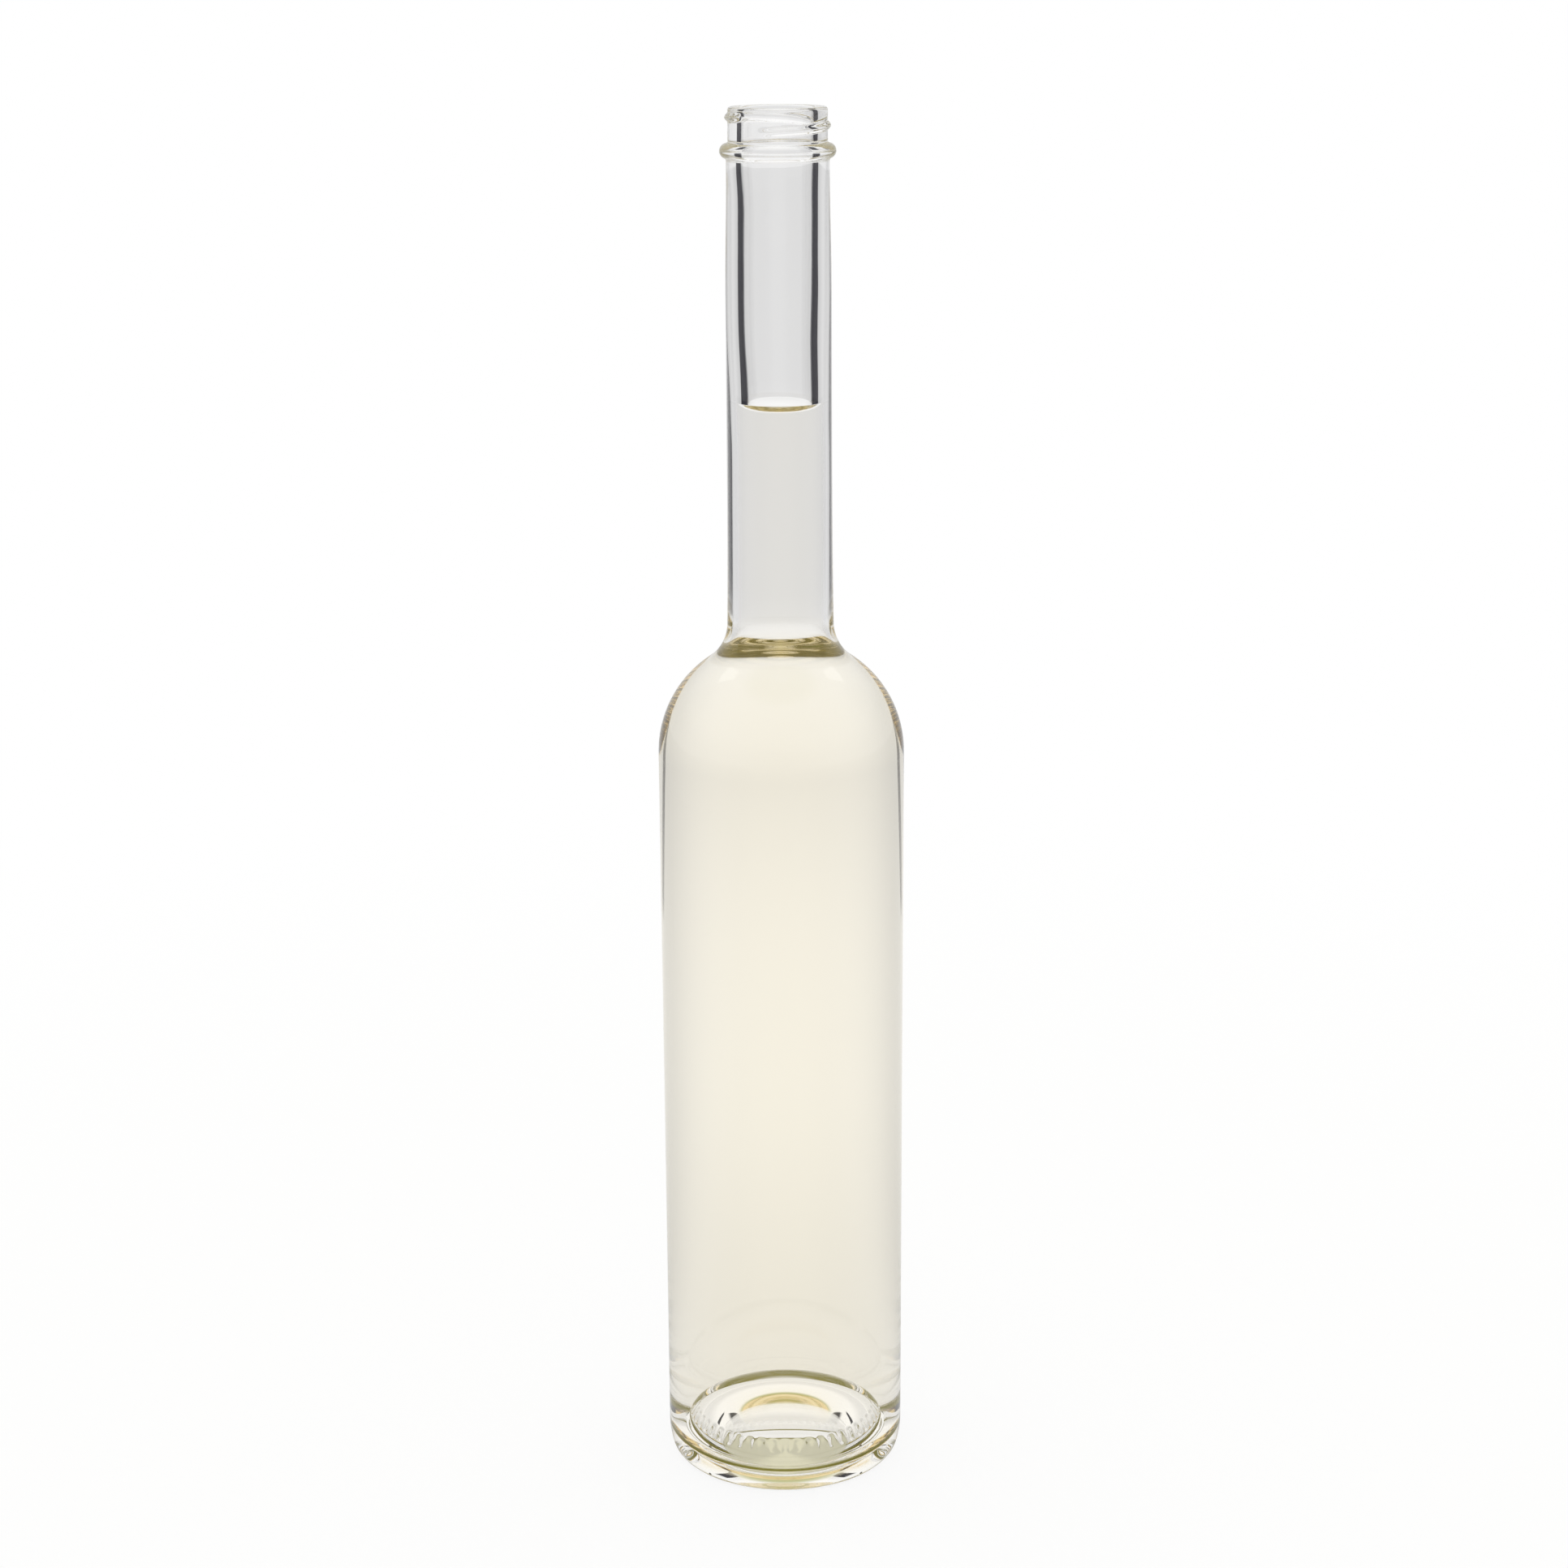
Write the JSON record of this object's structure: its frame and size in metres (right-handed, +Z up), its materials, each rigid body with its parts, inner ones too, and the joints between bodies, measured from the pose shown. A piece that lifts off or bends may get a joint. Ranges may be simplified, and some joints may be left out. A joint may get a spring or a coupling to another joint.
{
  "type": "glass bottle",
  "caption": "Slender clear glass bottle with a straight body, round shoulder, long neck, domed base and threaded finish, filled with pale yellow liquid.",
  "frame": {"origin": "centre of the bearing ring, on the plane that the bottle stands on", "axes": "+Z up the bottle's axis towards the mouth; the bottle is turned, so +X and +Y are any two level directions"},
  "size_m": [0.064, 0.064, 0.3626],
  "materials": {
    "bottle_glass": "clear fire-polished glass",
    "pale_liquid": "clear pale yellow liquid"
  },
  "bodies": {
    "root": {"glass_bottle": "bottle_glass", "liquid_fill": "pale_liquid"}
  },
  "joints": []
}
